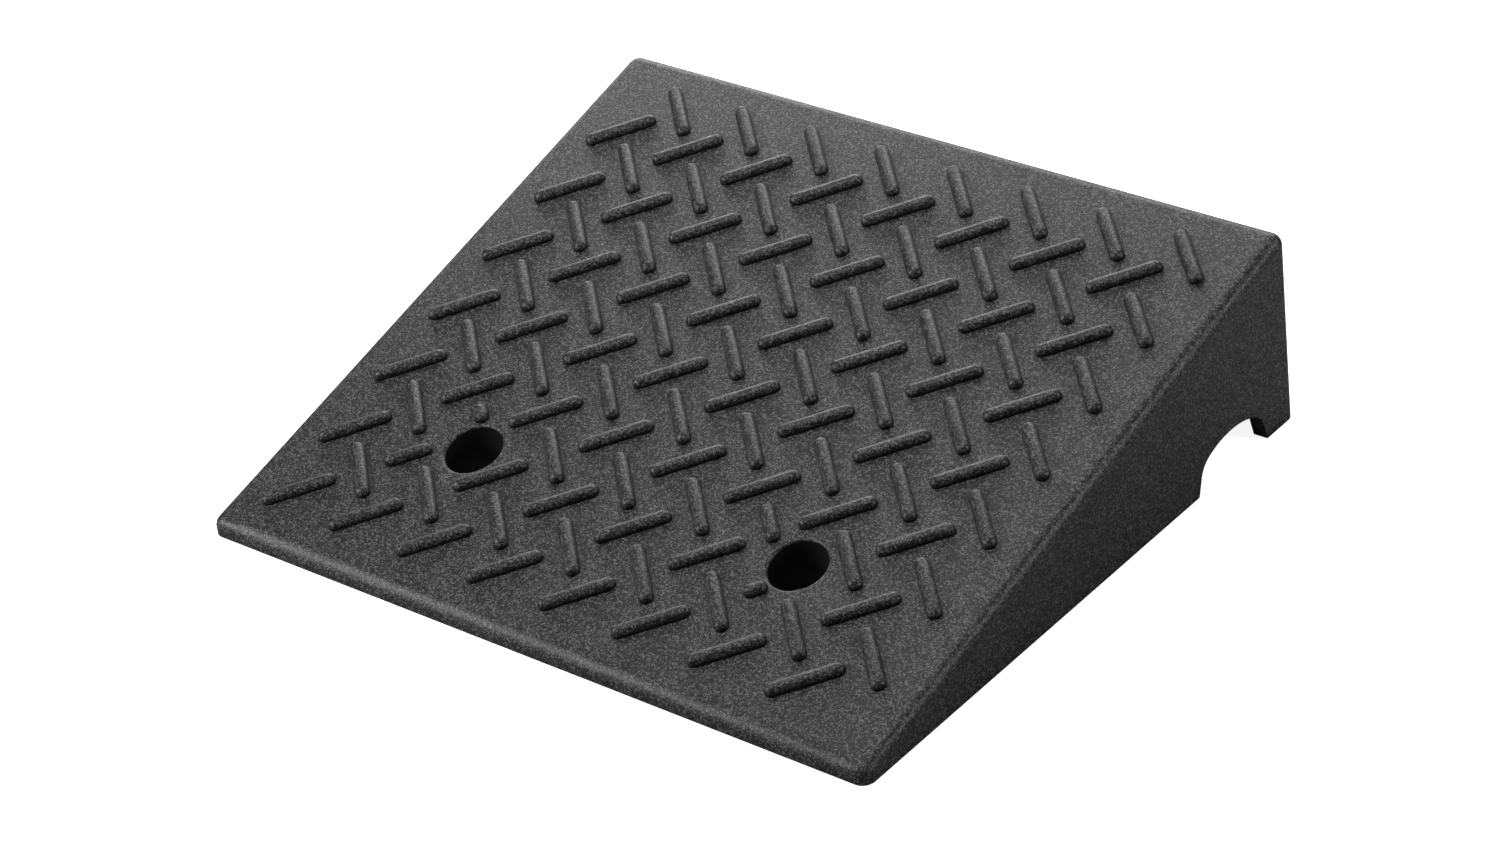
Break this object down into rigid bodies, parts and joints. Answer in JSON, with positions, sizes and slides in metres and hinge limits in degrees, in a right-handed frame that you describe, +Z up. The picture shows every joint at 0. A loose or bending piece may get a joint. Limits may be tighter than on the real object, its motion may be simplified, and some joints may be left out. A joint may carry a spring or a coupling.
{
  "type": "wheelchair kerb ramp",
  "caption": "Low wedge ramp in moulded rubber for a kerb, with herringbone tread bars, anchor holes, a gutter arch through its sides and ribs under its deck.",
  "frame": {"origin": "on the ground, under the middle of the ramp's footprint", "axes": "+X along the kerb, to the right of a person going up; +Y up the slope, from the nose to the kerb face; +Z up"},
  "size_m": [0.5, 0.428, 0.1268],
  "materials": {
    "rubber": "matt black, moulded with a fine pebble grain",
    "tread_rubber": "matt black, moulded with a fine pebble grain",
    "zinc_steel": "bright zinc plate on pressed steel"
  },
  "bodies": {
    "root": {"deck_panel": "rubber", "side_wall_left": "rubber", "side_wall_right": "rubber", "rear_wall": "rubber", "rib_far_left": "rubber", "rib_left": "rubber", "rib_centre": "rubber", "rib_right": "rubber", "rib_far_right": "rubber", "cross_rib_front": "rubber", "cross_rib_middle": "rubber", "cross_rib_rear": "rubber", "anchor_boss_left": "rubber", "anchor_boss_right": "rubber", "anchor_washer_left": "zinc_steel", "anchor_washer_right": "zinc_steel", "tread_bars_rising": "tread_rubber", "tread_bars_falling": "tread_rubber"}
  },
  "joints": []
}
